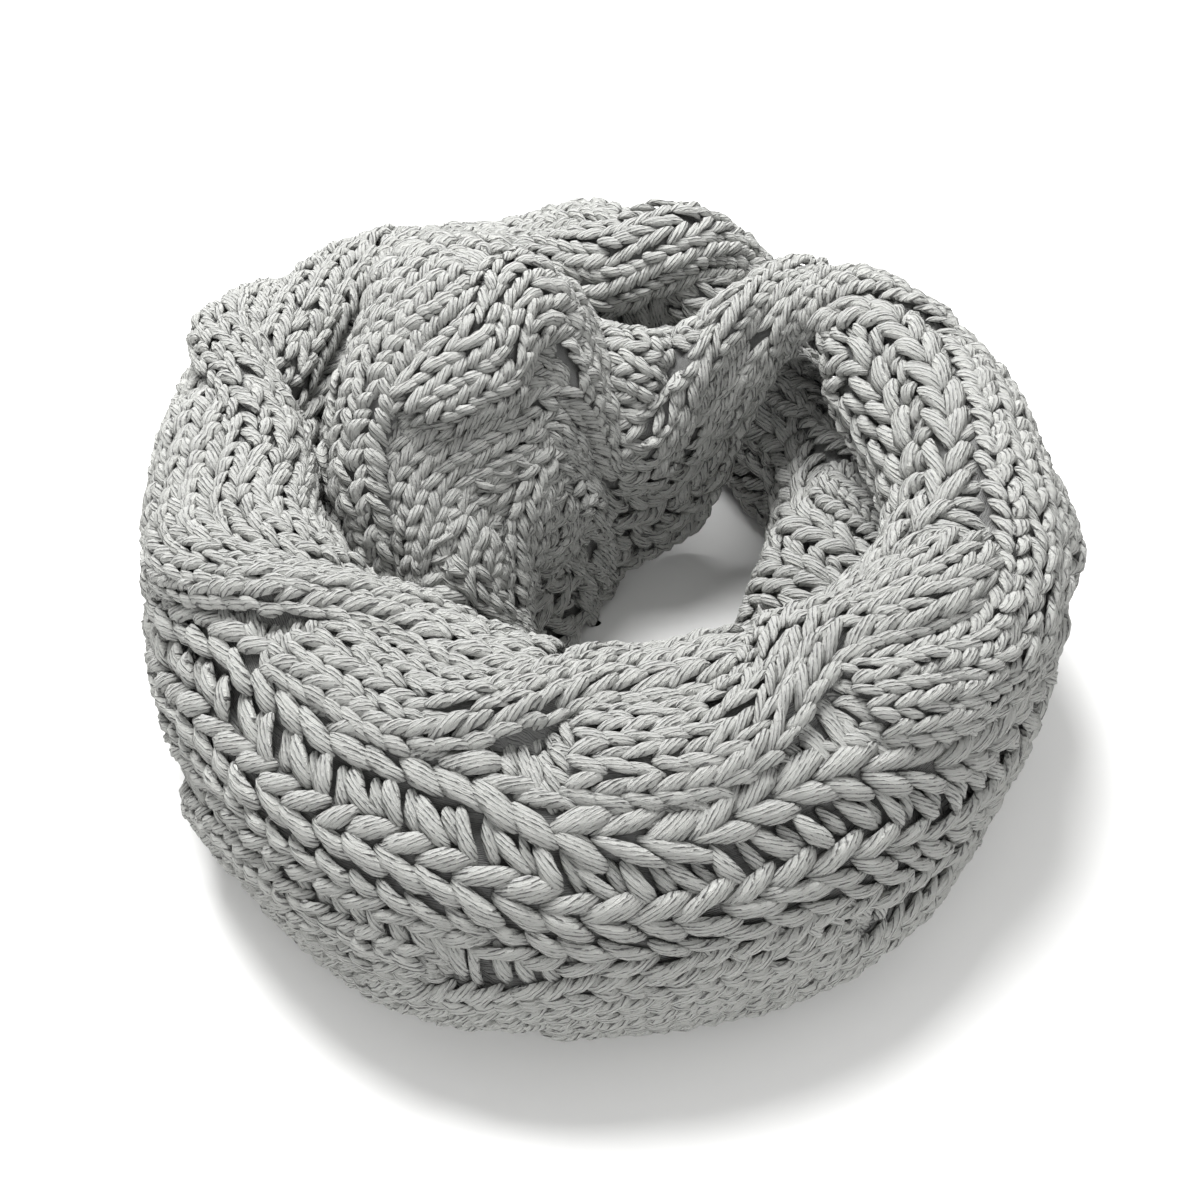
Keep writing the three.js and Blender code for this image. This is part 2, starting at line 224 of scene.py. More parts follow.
# How irregular the stitches are: the share by which sizes vary, the shifts and bends in millimetres, and the
# share and number of lumps
LOOSE_SHARE = 0.11
LOOSE_SHIFT = 0.35
LOOSE_BEND = 0.6
LOOSE_LUMPS = 0.1
LUMPS_ALONG = 9.0
PHASES = 500.0
# The share of its arch by which a leg's ends lie below its lift, and how much painted light its arch puts on
# its middle and painted shade on its ends
ARCH_FOOT = 0.6
ARCH_SHADE = 0.35
# Legs nearer than this to the edge or the hem are left out, and so are those this close to the floor that face
# it, as they are hidden. Nothing lies lower than the least height.
BORDER = 1.0
FLOOR_CLEARANCE = 2.5
FACES_FLOOR = -0.3
LEAST_LEG_HEIGHT = 0.2
LEAST_SHEET_HEIGHT = 0.3
# The shapes of a leg: the points round it and along it, the height of the ridges of its plies as a share of
# its radius, and how far they turn towards each end, in radians. Its ends are fuller by a share.
FINE_LEG = {"segments": 6, "rings": 6, "ridges": 0.0, "twist": 0.0}
RIB_LEG = {"segments": 12, "rings": 8, "ridges": 0.12, "twist": 0.8}
BAR_LEG = {"segments": 10, "rings": 8, "ridges": 0.12, "twist": 0.8}
END_FULLNESS = 0.08

# The wool. How far the plies slant beside the yarn for each millimetre along it, and how slowly the grooves and
# the fibres change along the yarn, against 1 across it
SLANT = 0.3
GROOVE_ALONG, FIBRE_ALONG = 0.16, 0.3
# How far the noises jump from leg to leg, how the painted shade in the grooves between the plies wanders and
# breaks up with the grooves' noise, and how sharp it is
GROOVE_JUMP, FIBRE_JUMP = 3.0, 5.0
PLY_WANDER, PLY_JUMP = 8.0, 0.7
PLY_GAIN, PLY_START, PLY_SHARPNESS = 4.0, -1.2, 3.0
# Noises: scale, detail and roughness. The first is for plies 1 mm apart, the first two are by millimetres of
# yarn, and the others are by metres.
GROOVE_NOISE = (1.9, 2.0, 0.6)
FIBRE_NOISE = (2.6, 4.0, 0.75)
FLECK_NOISE = (900.0, 3.0, 0.75)
PATCH_NOISE = (26.0, 2.0, 0.5)
ROUGH_NOISE = (160.0, 2.0, 0.5)
# How far each pattern lightens the wool, from the dark fibre at 0 to the light one at 1, and how far it raises
# the relief, whose height is in metres
FIBRE_LIGHT, FLECK_LIGHT, PATCH_LIGHT, TONE_LIGHT, PLY_GROOVE_PAINTED_SHADE, LIGHT_START = 2.0, 1.1, 0.3, 0.05, 1.4, -0.68
# Painted shade on the low parts of each leg and painted light on its high parts, by the depth that the legs
# keep
PAINTED_DIP_SHADE, PAINTED_DIP_SHADE_START = 0.8, -0.3
FIBRE_RELIEF, FLECK_RELIEF, PLY_RELIEF, RELIEF_HEIGHT = 1.6, 0.6, 1.5, 0.0014
DARK_STOP, LIGHT_STOP = 0.15, 0.78
# The share to which the ground sheet's wool is darkened: painted shade in the gaps between the stitches
GROUND_SHADE = 0.35
LEAST_ROUGHNESS, ROUGHNESS_RANGE = 0.86, 0.1
SHEEN, SHEEN_ROUGHNESS, SPECULAR = 0.35, 0.55, 0.12

# The cloth under the stitches: the steps of its mesh in degrees and millimetres, its depth and its wall
SHEET_TURN_STEP = 2.0
SHEET_ACROSS_STEP = 3.0
YARN_DEPTH = 1.6
SHEET_WALL = 2.0
FLAT_SAMPLES = 50

# The map of the cloth: its steps along and across, how far it runs on past the edges, the points in each bend
# of a section, and the most that it counts as leaning
MAP_TURN_STEP = 1.0
MAP_CHART_STEP = 1.5
MAP_TURN_MARGIN = 10.0
MAP_CHART_MARGIN = 9.0
CURVE_SAMPLES = 60
MOST_LEAN = 0.98

# The camera's target, in metres, its shift in shares of the frame, and the lights' places and sizes in metres
CAMERA_TARGET = Vector((0.00219, -0.00509, 0.045))
CAMERA_SHIFT = (-6.0 / 1200.0, 8.0 / 1200.0)
CAMERA_SENSOR = 36.0
KEY_PLACE, KEY_SIZE = (-0.22, 0.42, 1.1), 0.7
FILL_PLACE, FILL_SIZE = (0.3, -1.1, 0.7), 1.0
FLOOR_SIZE = 4.0
FLOOR_COLOUR, FLOOR_ROUGHNESS = (0.93, 0.93, 0.92, 1.0), 0.9


def smooth_step(x):
    k = np.clip(x, 0.0, 1.0)
    return k * k * (3.0 - 2.0 * k)


def dome(distance, half):
    return np.sqrt(np.clip(1.0 - (distance / half) ** 2, 0.0, None))


def plateau(turns, opens, closed, ends, gone):
    """0 outside the first and last turn and 1 between the middle two, with smooth slopes"""
    return smooth_step((turns - opens) / (closed - opens)) * smooth_step((gone - turns) / (gone - ends))


def sections_at(turns):
    """The table's numbers at any turns, on a smooth closed curve through its rows, as the solids have them"""
    table = np.array(SECTIONS, float)
    rows, values = table[:, 0], table[:, 1:]
    steps = np.diff(rows)
    rises = np.diff(values, axis=0) / steps[:, None]
    step_before = np.append(steps[-1], steps)[:, None]
    step_after = np.append(steps, steps[0])[:, None]
    rise_before = np.vstack([rises[-1:], rises])
    rise_after = np.vstack([rises, rises[:1]])
    slopes = (rise_before * step_after + rise_after * step_before) / (step_before + step_after)
    length = LAST_TURN - FIRST_TURN
    wrapped = FIRST_TURN + np.mod(np.asarray(turns, float) - FIRST_TURN, length)
    i = np.clip(np.searchsorted(rows, wrapped, side="right") - 1, 0, len(steps) - 1)
    span = steps[i][:, None]
    u = (wrapped - rows[i])[:, None] / span
    found = (
        (2 * u**3 - 3 * u**2 + 1) * values[i]
        + (u**3 - 2 * u**2 + u) * slopes[i] * span
        + (3 * u**2 - 2 * u**3) * values[i + 1]
        + (u**3 - u**2) * slopes[i + 1] * span
    )
    return dict(zip(COLUMNS[1:], found.T))


def section_curves(section):
    """Radius and height along each section: the bend from the edge, then three quarters of ellipses"""
    k = np.linspace(0.0, 1.0, CURVE_SAMPLES, endpoint=False)[None, :]
    sine, cosine = np.sin(k * math.pi / 2), np.cos(k * math.pi / 2)
    s = {name: column[:, None] for name, column in section.items()}
    radius = np.hstack([
        s["inR"] + (s["edgeR"] - s["inR"]) * (1 - k) ** 2,
        s["topR"] - (s["topR"] - s["inR"]) * cosine,
        s["topR"] + (s["outR"] - s["topR"]) * sine,
        s["hemR"] + (s["outR"] - s["hemR"]) * cosine,
        s["hemR"],
    ])
    height = np.hstack([
        s["edgeZ"] + (s["inZ"] - s["edgeZ"]) * k,
        s["inZ"] + (s["topZ"] - s["inZ"]) * sine,
        s["outZ"] + (s["topZ"] - s["outZ"]) * cosine,
        s["outZ"] + (s["hemZ"] - s["outZ"]) * sine,
        s["hemZ"],
    ])
    return radius, np.maximum(height, 0.0)


class ClothMap:
    """The band's plain outer face: points and outward normals by turn and chart, in millimetres"""

    def __init__(self):
        self.turns = np.arange(FIRST_TURN - MAP_TURN_MARGIN, LAST_TURN + MAP_TURN_MARGIN + 0.5, MAP_TURN_STEP)
        section = sections_at(self.turns)
        self.edges = section["chart"]
        radius, height = section_curves(section)
        steps = np.hypot(np.diff(radius, axis=1), np.diff(height, axis=1))
        places = self.edges[:, None] + np.hstack([np.zeros((len(steps), 1)), np.cumsum(steps, axis=1)])
        self.widths = places[:, -1] - self.edges
        self.charts = np.arange(
            self.edges.min() - MAP_CHART_MARGIN, places.max() + MAP_CHART_MARGIN, MAP_CHART_STEP,
        )
        flat = np.empty((len(self.turns), len(self.charts), 2))
        for row, place in enumerate(places):
            flat[row, :, 0] = self.carried_on(place, radius[row])
            flat[row, :, 1] = self.carried_on(place, height[row])
        angle = np.radians(self.turns)[:, None]
        self.points = np.stack([
            RING_X + flat[..., 0] * np.cos(angle),
            RING_Y + flat[..., 0] * np.sin(angle),
            np.maximum(flat[..., 1], 0.0),
        ], axis=-1)
        self.along = np.gradient(self.points, self.turns, axis=0)
        self.aside = np.gradient(self.points, self.charts, axis=1)
        normals = np.cross(self.aside, self.along)
        self.normals = normals / np.maximum(np.linalg.norm(normals, axis=-1, keepdims=True), TINY)

    def carried_on(self, place, values):
        """Values by chart, carried on straight past both edges"""
        inside = np.interp(self.charts, place, values)
        start = (values[1] - values[0]) / max(place[1] - place[0], TINY)
        end = (values[-1] - values[-2]) / max(place[-1] - place[-2], TINY)
        before = np.minimum(self.charts - place[0], 0.0)
        after = np.maximum(self.charts - place[-1], 0.0)
        return inside + start * before + end * after

    def width(self, turn):
        return np.interp(turn, self.turns, self.widths)

    def edge(self, turn):
        return np.interp(turn, self.turns, self.edges)

    def read(self, table, turn, chart):
        """A map's values between its places"""
        i = np.clip((turn - self.turns[0]) / MAP_TURN_STEP, 0, len(self.turns) - 1.001)
        j = np.clip((chart - self.charts[0]) / MAP_CHART_STEP, 0, len(self.charts) - 1.001)
        row, column = i.astype(int), j.astype(int)
        u, v = (i - row)[..., None], (j - column)[..., None]
        low = table[row, column] * (1 - v) + table[row, column + 1] * v
        high = table[row + 1, column] * (1 - v) + table[row + 1, column + 1] * v
        return low * (1 - u) + high * u

    def place(self, turn, chart, lift):
        """Points at a height over the cloth"""
        return self.read(self.points, turn, chart) + self.read(self.normals, turn, chart) * lift[..., None]

    def scale(self, turn, chart):
        """Millimetres of cloth in one degree of turn"""
        return np.linalg.norm(self.read(self.along, turn, chart), axis=-1)

    def lean(self, turn, chart):
        """How far the way across leans along the band where the cloth is pulled askew, from -1 to 1"""
        along = self.read(self.along, turn, chart)
        aside = self.read(self.aside, turn, chart)
        sizes = np.linalg.norm(along, axis=-1) * np.linalg.norm(aside, axis=-1)
        return np.clip(np.sum(along * aside, axis=-1) / np.maximum(sizes, TINY), -MOST_LEAN, MOST_LEAN)


CLOTH = ClothMap()


def strand_way(turns, which):
    """Which side of its cable a strand is on, from -1 at the edge's side to +1 at the hem's, and how far it
    lies over the other one, from -1 to +1. The strand that comes from the hem's side passes over, on a long
    slant, and the other one dips under it quickly."""
    side = np.full(np.shape(turns), 1.0 if which == 0 else -1.0)
    over = np.zeros(np.shape(turns))
    length = LAST_TURN - FIRST_TURN
    for i in range(-2, len(CROSSINGS) + 2):
        middle = CROSSINGS[i % len(CROSSINGS)] + length * (i // len(CROSSINGS))
        leads = (i + which) % 2 == 0
        start, end = (OVER_STARTS, OVER_ENDS) if leads else (UNDER_STARTS, UNDER_ENDS)
        along = (turns - middle - start) / (end - start)
        # The strands' sides are given for the first turn, when the crossings before it are over
        swap = 2.0 * smooth_step(along) - (2.0 if i < 0 else 0.0)
        side += -swap if leads else swap
        over += (1.0 if leads else -1.0) * np.clip(4.0 * along * (1.0 - along), 0.0, 1.0)
    return side, over


def pleat_share(turns):
    """How far the pleat at the back left is closed, from 0 to 1"""
    return plateau(turns, *PLEAT_TURNS)


def drift(turns, chart):
    """How far a rib or cable is moved towards the hem. The ribs beside the first cable are drawn to it before
    its crossings and at the front left, and the pleat draws up what lies past it."""
    drawn = np.zeros(np.shape(turns))
    for middle in CROSSINGS:
        drawn += np.clip(1.0 - ((turns - middle + DRAWN_BEFORE) / DRAWN_SPREAD) ** 2, 0.0, None)
    at_left = plateau(turns, *LEFT_DRAWN_TURNS)
    share = np.clip(1.0 - np.abs(chart - DRAWN_CHART) / DRAWN_REACH, 0.0, 1.0)
    pull = DRAWN_MOST * drawn * share + LEFT_DRAWN_MOST * at_left * share
    to_cable = np.where(chart > CABLE_A["middle"], -pull, 0.0)
    return to_cable + np.where(chart < PLEAT_CHARTS[1], PLEAT * pleat_share(turns), 0.0)


def in_pleat(turns, chart):
    """Where a rib lies hidden in the pleat"""
    return (PLEAT_CHARTS[0] < chart < PLEAT_RIBS_TO) & (pleat_share(turns) > PLEAT_CLOSED)


def strand_lift(cable, offset, over):
    """Height of a place on a strand, by its distance from the strand's middle"""
    above, below = np.clip(over, 0.0, None), np.clip(-over, 0.0, None)
    round_top = cable["height"] * dome(offset, cable["strand"] / 2 + STRAND_MARGIN)
    share = 1.0 + OVER_SHARE * above - UNDER_SHARE * below
    return CABLE_FOOT + round_top * share + OVER_RISE * above - UNDER_SINK * below


def ground_lift(turn, chart):
    """Height of the plain ground behind the stitches"""
    lift = np.full(np.shape(chart), GROUND)
    for cable in CABLES:
        top = np.full(np.shape(chart), -np.inf)
        for which in (0, 1):
            side, over = strand_way(turn, which)
            middle = cable["middle"] + drift(turn, cable["middle"]) + side * cable["strand"] / 2
            offset = chart - middle
            inside = np.abs(offset) < cable["strand"] / 2
            top = np.where(inside, np.maximum(top, strand_lift(cable, offset, over)), top)
        lift = np.where(np.isfinite(top), top, lift)
    for middle, half, _, _ in RIBS:
        offset = chart - middle - drift(turn, middle)
        top = np.maximum(lift, RIB_FOOT + RIB_GROUND_RISE * (dome(offset, half) - 1.0))
        lift = np.where(in_pleat(turn, middle), lift, top)
    for middle, half, _ in GUTTERS:
        offset = chart - middle - drift(turn, middle)
        lift = np.where(np.abs(offset) < half, GUTTER_GROUND, lift)
    return lift


class Stitches:
    """Legs of yarn on the cloth. Each has a turn and a chart place for its middle, a run along the band and a
    rise towards the hem from end to end, its width and thickness, its lift over the cloth, the height of its
    arch, and its roll, the lift that it gains for each millimetre towards the hem."""

    FIELDS = ("turn", "chart", "run", "rise", "width", "thick", "lift", "arch", "roll")

    def __init__(self):
        self.rows = []

    def add(self, **values):
        columns = np.broadcast_arrays(*(np.asarray(values[name], float) for name in self.FIELDS))
        self.rows.append(np.stack(columns, axis=-1))

    def of_stretch(self, first, last):
        """The legs between two turns that lie on the cloth and are not under it on the floor"""
        legs = np.concatenate(self.rows)
        turn, chart = legs[:, 0], legs[:, 1]
        from_edge = chart - CLOTH.edge(turn)
        on_cloth = (from_edge > BORDER) & (from_edge < CLOTH.width(turn) - BORDER)
        height = CLOTH.place(turn, chart, np.zeros(len(legs)))[:, 2]
        facing = CLOTH.read(CLOTH.normals, turn, chart)[:, 2]
        hidden = (height < FLOOR_CLEARANCE) & (facing < FACES_FLOOR)
        return legs[(turn >= first) & (turn < last) & on_cloth & ~hidden]


def drifting_way(middle):
    """The chart place, by turn, of a rib or cable"""
    def way(turns):
        return middle + drift(turns, middle)
    return way


def even_turns(way, lift, pitch):
    """Turns at which the stitches of a column sit, along it all round the band. The knit is stretched at the
    front, so its rows lie further apart there."""
    turns = np.arange(FIRST_TURN, LAST_TURN + 0.5 * WAY_STEP, WAY_STEP)
    points = CLOTH.place(turns, way(turns), np.full(len(turns), lift))
    steps = np.linalg.norm(np.diff(points, axis=0), axis=1)
    stretch = np.interp(0.5 * (turns[1:] + turns[:-1]), STRETCH_TURNS, STRETCH_SHARES)
    lengths = np.append(0.0, np.cumsum(steps / stretch))
    count = round(lengths[-1] / pitch)
    places = (np.arange(count) + 0.5) * lengths[-1] / count
    return np.interp(places, lengths, turns)


def add_column(stitches, way, turns, half, lift, roll, opens, yarn, shown=None, number=None):
    """A column of V stitches along a way over the chart, with the stitches that are shown. The two legs of each
    V meet on the middle line, and open with the turn where opens is 1, or against it where it is -1. A column
    that has a number is one of several side by side. Where the cloth is pulled askew they crowd together, so
    one is knitted there in place of two or four, by its number, in stitches of the usual size."""
    chart = way(turns)
    scale = CLOTH.scale(turns, chart)
    lean = CLOTH.lean(turns, chart)
    upright = np.sqrt(1.0 - lean**2)
    drifting = way(turns + 0.5) - way(turns - 0.5)
    pace = np.hypot(scale + lean * drifting, upright * drifting)
    ahead, sideways = (scale + lean * drifting) / pace, upright * drifting / pace
    narrow = np.abs(ahead * upright - sideways * lean)
    merged = np.ones(len(turns), int)
    kept = np.ones(len(turns), bool)
    if number is not None:
        merged = np.select([narrow > CROWDED[0], narrow > CROWDED[1]], [1, 2], 4)
        kept = number % merged == 0
    if shown is not None:
        kept &= shown
    chart = chart + (merged - 1.0) * half
    reach = yarn["reach"] * np.gradient(turns) * pace
    leg_width = yarn["width"] * np.clip(merged * narrow, *LEG_WIDTH_LIMITS)
    lift = np.broadcast_to(lift, turns.shape)
    roll = np.broadcast_to(roll, turns.shape)
    for side in (-1.0, 1.0):
        spread = side * opens * yarn["spread"] * half * narrow * merged
        shift = side * LEG_PLACE * half * narrow * merged
        beside = shift * ahead / upright
        stitches.add(
            turn=(turns - (shift * sideways + lean * beside) / scale)[kept],
            chart=(chart + beside)[kept],
            run=(reach * ahead - spread * sideways)[kept],
            rise=((reach * sideways + spread * ahead) / upright)[kept],
            width=leg_width[kept],
            thick=yarn["thick"],
            lift=(lift + side * LEG_PLACE * half * roll)[kept],
            arch=yarn["arch"],
            roll=roll[kept],
        )


def cable_stitches(cable):
    """Both strands of a rope cable, in stockinette columns that share their rows"""
    stitches = Stitches()
    spacing = cable["strand"] / cable["columns"]
    for which in (0, 1):
        def middle_way(turns, which=which):
            side, _ = strand_way(turns, which)
            return drifting_way(cable["middle"])(turns) + side * cable["strand"] / 2

        turns = even_turns(middle_way, cable["height"], CABLE_PITCH)
        _, over = strand_way(turns, which)
        for column in range(cable["columns"]):
            offset = (column - (cable["columns"] - 1) / 2) * spacing
            lift = strand_lift(cable, offset, over)
            roll = (strand_lift(cable, offset + 1.0, over) - strand_lift(cable, offset - 1.0, over)) / 2.0
            add_column(
                stitches, lambda t, offset=offset: middle_way(t) + offset, turns,
                spacing / 2, lift, roll, 1, STOCKINETTE, number=column,
            )
    return stitches


def rib_stitches():
    """The big ribs, one column of long V stitches on each"""
    stitches = Stitches()
    for middle, half, pitch, opens in RIBS:
        way = drifting_way(middle)
        turns = even_turns(way, RIB_FOOT, pitch)
        size = half / BIG_RIB_HALF
        yarn = dict(BIG_RIB, width=BIG_RIB["width"] * size, thick=BIG_RIB["thick"] * size)
        add_column(stitches, way, turns, half, RIB_FOOT, 0.0, opens, yarn, shown=~in_pleat(turns, middle))
    return stitches


def pleat_stitches():
    """Plain columns deep in the pleat, which the cables cover where they pass"""
    stitches = Stitches()
    for number, chart in enumerate(PLEAT_COLUMNS):
        def way(turns, chart=chart):
            return np.full(np.shape(turns), chart)

        turns = even_turns(way, 0.0, CABLE_PITCH)
        shown = pleat_share(turns) > PLEAT_CLOSED
        add_column(
            stitches, way, turns, PLEAT_HALF, PLEAT_LIFT, 0.0, 1, STOCKINETTE, shown=shown, number=number,
        )
    return stitches


def edge_stitches():
    """A chain of stitches along the band's edge and its hem"""
    stitches = Stitches()
    ways = (
        lambda turns: CLOTH.edge(turns) + EDGE_INSET,
        lambda turns: CLOTH.edge(turns) + CLOTH.width(turns) - EDGE_INSET,
    )
    for way in ways:
        turns = even_turns(way, 0.0, EDGE_PITCH)
        add_column(stitches, way, turns, EDGE_HALF, EDGE_LIFT, 0.0, 1, EDGE_CHAIN)
    return stitches


def bar_stitches():
    """The slanted bars in the open gutters, in uneven pairs, and the yarn that runs behind them"""
    stitches = Stitches()
    for middle, half, pitch in GUTTERS:
        way = drifting_way(middle)
        turns = even_turns(way, 0.0, pitch)
        chart = way(turns)
        step = np.gradient(turns)
        spacing = step * CLOTH.scale(turns, chart)
        pair = np.where(np.arange(len(turns)) % 2 == 0, 1.0, -1.0)
        layers = (
            (BAR, turns + PAIR_SHIFT * pair * step, PAIR_RUN * pair, -PAIR_LIFT * pair),
            (BAR_BEHIND, turns + 0.5 * step, 0.0, 0.0),
        )
        for bar, places, more_run, more_lift in layers:
            stitches.add(
                turn=places, chart=chart, run=(bar["run"] + more_run) * spacing, rise=bar["rise"] * half,
                width=bar["width"] * pitch, thick=bar["thick"], lift=bar["lift"] + more_lift,
                arch=bar["arch"], roll=0.0,
            )
    return stitches


def cable_border(cable, turns, towards_hem):
    """The chart place where a cable ends, on its hem's or its edge's side"""
    middle = cable["middle"] + drift(turns, cable["middle"])
    outward = 0.5 if towards_hem else -0.5
    borders = [middle + (0.5 * strand_way(turns, which)[0] + outward) * cable["strand"] for which in (0, 1)]
    return np.maximum(*borders) if towards_hem else np.minimum(*borders)


def filling_stitches():
    """Upright bars that fill the open places beside a cable, where its strands have moved together"""
    stitches = Stitches()
    for cable, towards_hem, (rib_middle, rib_half, _, _) in FILLINGS:
        outward = 1.0 if towards_hem else -1.0

        def way(turns):
            return cable_border(cable, turns, towards_hem)

        turns = even_turns(way, 0.0, FILLING_PITCH)
        border = way(turns)
        rib_border = rib_middle + drift(turns, rib_middle) - outward * RIB_FLANK * rib_half
        gap = outward * (rib_border - border)
        wanted = (gap > FILLING_LEAST) & (gap < FILLING_MOST) & ~in_pleat(turns, rib_middle)
        middle = 0.5 * (border + rib_border)[wanted]
        stitches.add(
            turn=turns[wanted], chart=middle, rise=gap[wanted] + FILLING_OVERLAP, roll=0.0, **FILLING_BAR,
        )
    return stitches


def from_lowest(face):
    """The numbers of a face's points, in their order, from the lowest one on that keeps a quad's diagonal"""
    numbers = [vert.index for vert in face.verts]
    starts = (0, 2) if len(numbers) == 4 else (0, 1, 2)
    start = min(starts, key=lambda place: numbers[place])
    return numbers[start:] + numbers[:start]


def yarn_template(name, segments, rings, ridges, twist):
    """One leg of yarn along X, from -0.5 to 0.5, with full ends and, on thick yarn, twisted ridges for its
    plies. Blender lists the sphere's faces in another order each time, so they are sorted."""
    bm = bmesh.new()
    bmesh.ops.create_uvsphere(bm, u_segments=segments, v_segments=rings, radius=0.5)
    bmesh.ops.rotate(bm, verts=bm.verts, cent=(0, 0, 0), matrix=Matrix.Rotation(math.pi / 2, 3, "Y"))
    for vert in bm.verts:
        end = 2.0 * vert.co.x
        round_it = math.atan2(vert.co.z, vert.co.y)
        fuller = (1.0 + ridges * math.cos(segments / 2 * round_it)) * (1.0 + END_FULLNESS * end * end)
        turned = Matrix.Rotation(twist * end, 2) @ Vector((vert.co.y, vert.co.z))
        vert.co.y, vert.co.z = fuller * turned
    bm.verts.index_update()
    mesh = bpy.data.meshes.new(name)
    mesh.from_pydata([vert.co for vert in bm.verts], [], sorted(from_lowest(face) for face in bm.faces))
    bm.free()
    return mesh


def copies(name, template, count):
    """One mesh of many copies of the template"""
    holder = bpy.data.objects.new(name, template)
    bpy.context.scene.collection.objects.link(holder)
    array = holder.modifiers.new("one copy for each leg", "ARRAY")
    array.count = count
    array.use_relative_offset = False
    mesh = bpy.data.meshes.new_from_object(holder.evaluated_get(bpy.context.evaluated_depsgraph_get()))
    bpy.data.objects.remove(holder)
    mesh.name = name
    return mesh


def keep_yarn(mesh, along, aside, tone):
    """Keeps for the material where each point is along and beside its yarn, and its yarn's own tone"""
    values = np.stack(np.broadcast_arrays(along, aside, tone), axis=-1)
    mesh.attributes.new("yarn", "FLOAT_VECTOR", "POINT").data.foreach_set("vector", values.ravel())


def lay_legs(mesh, template, legs, seed):
    """Lays each copy of the template on the cloth as one leg, and keeps for the material how high each point
    stands on its yarn, for painted shade on the low parts of each leg and painted light on its high parts"""
    local = np.empty(len(template.vertices) * 3)
    template.vertices.foreach_get("co", local)
    x, y, z = (column[None, :] for column in local.reshape(-1, 3).T)
    draws = np.random.default_rng(seed)
    count = len(legs)
    loose = 1.0 + LOOSE_SHARE * draws.normal(0.0, 1.0, legs.shape)
    loose[:, :2] = 1.0
    legs = legs * loose
    for field in ("chart", "lift"):
        legs[:, Stitches.FIELDS.index(field)] += LOOSE_SHIFT * draws.normal(0.0, 1.0, count)
    bend = LOOSE_BEND * draws.normal(0.0, 1.0, count)[:, None]
    phase = draws.uniform(0.0, PHASES, count)[:, None]
    tone = draws.normal(0.0, 1.0, count)[:, None]
    turn, chart, run, rise, width, thick, lift, arch, roll = (column[:, None] for column in legs.T)
    length = np.hypot(run, rise)
    bow = 1.0 - 4.0 * x * x
    lump = 1.0 + LOOSE_LUMPS * np.sin(LUMPS_ALONG * x + phase)
    side = y * width * lump + bend * bow
    height = lift + z * thick * lump + arch * (bow - ARCH_FOOT) + roll * (x * rise + side * run / length)

    along = CLOTH.read(CLOTH.along, turn[:, 0], chart[:, 0])
    scale = np.linalg.norm(along, axis=-1)
    aside = CLOTH.read(CLOTH.aside, turn[:, 0], chart[:, 0])
    normal = CLOTH.read(CLOTH.normals, turn[:, 0], chart[:, 0])
    lean = CLOTH.lean(turn[:, 0], chart[:, 0])[:, None]
    heading = run * along / scale[:, None] + rise * (aside - lean * along / scale[:, None])
    beside = np.cross(heading, normal)
    beside /= np.maximum(np.linalg.norm(beside, axis=-1, keepdims=True), TINY)
    points = CLOTH.place(turn + x * (run - lean * rise) / scale[:, None], chart + x * rise, height)
    points = points + beside[:, None, :] * side[..., None]
    points[..., 2] = np.maximum(points[..., 2], LEAST_LEG_HEIGHT)
    mesh.vertices.foreach_set("co", (points * MM).ravel())

    keep_yarn(mesh, x * length + phase, side, tone)
    # How high each point stands on its leg and its arch, kept as depth for painted shade low on the leg and
    # painted light high on it
    high = np.broadcast_to(np.clip(0.5 + z + ARCH_SHADE * (bow - 0.5), 0.0, 1.0), side.shape)
    mesh.attributes.new("depth", "FLOAT", "POINT").data.foreach_set("value", high.ravel())


def finished(name, mesh, material):
    """A finished piece on the frame: smooth, with its material and slot"""
    mesh.polygons.foreach_set("use_smooth", np.ones(len(mesh.polygons), bool))
    mesh.update()
    mesh.materials.clear()
    mesh.materials.append(material)
    obj = bpy.data.objects.new(name, mesh)
    bpy.context.scene.collection.objects.link(obj)
    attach(obj, "root")
    return obj


def knit_pieces(context, kind, template, groups):
    """One piece of each stretch, with all its legs of one kind"""
    wool = knitted_material("marl_yarn", context.scene.scarf_yarn, 1.0, has_painted_shade=True)
    for number, (node_name, first, last, _) in enumerate(STRETCHES):
        legs = np.concatenate([group.of_stretch(first, last) for group in groups])
        name = f"{node_name}_{kind}"
        mesh = copies(name, template, len(legs))
        lay_legs(mesh, template, legs, seed=number)
        finished(name, mesh, wool)


class Wire:
    """A socket in a shader, with the sums of plain Python"""

    def __init__(self, tree, socket):
        self.tree = tree
        self.socket = socket

    def math(self, operation, *others):
        return node(self.tree, "ShaderNodeMath", {"operation": operation}, [self, *others])

    def __add__(self, other):
        return self.math("ADD", other)

    def __mul__(self, other):
        return self.math("MULTIPLY", other)

    def __sub__(self, other):
        return self.math("SUBTRACT", other)


def node(tree, kind, settings=None, inputs=None, output=0):
    """Adds a node: its settings first, then the values or links of its sockets. Returns one output."""
    made = tree.nodes.new(kind)
    for name, value in (settings or {}).items():
        setattr(made, name, value)
    pairs = inputs.items() if isinstance(inputs, dict) else enumerate(inputs or [])
    for name, value in pairs:
        socket = made.inputs[name]
        if isinstance(value, Wire):
            tree.links.new(value.socket, socket)
        else:
            socket.default_value = value
    return Wire(tree, made.outputs[output])


def noise(tree, vector, scale, detail, roughness):
    return node(tree, "ShaderNodeTexNoise", {"noise_dimensions": "3D"},
                {"Vector": vector, "Scale": scale, "Detail": detail, "Roughness": roughness}, output="Fac")


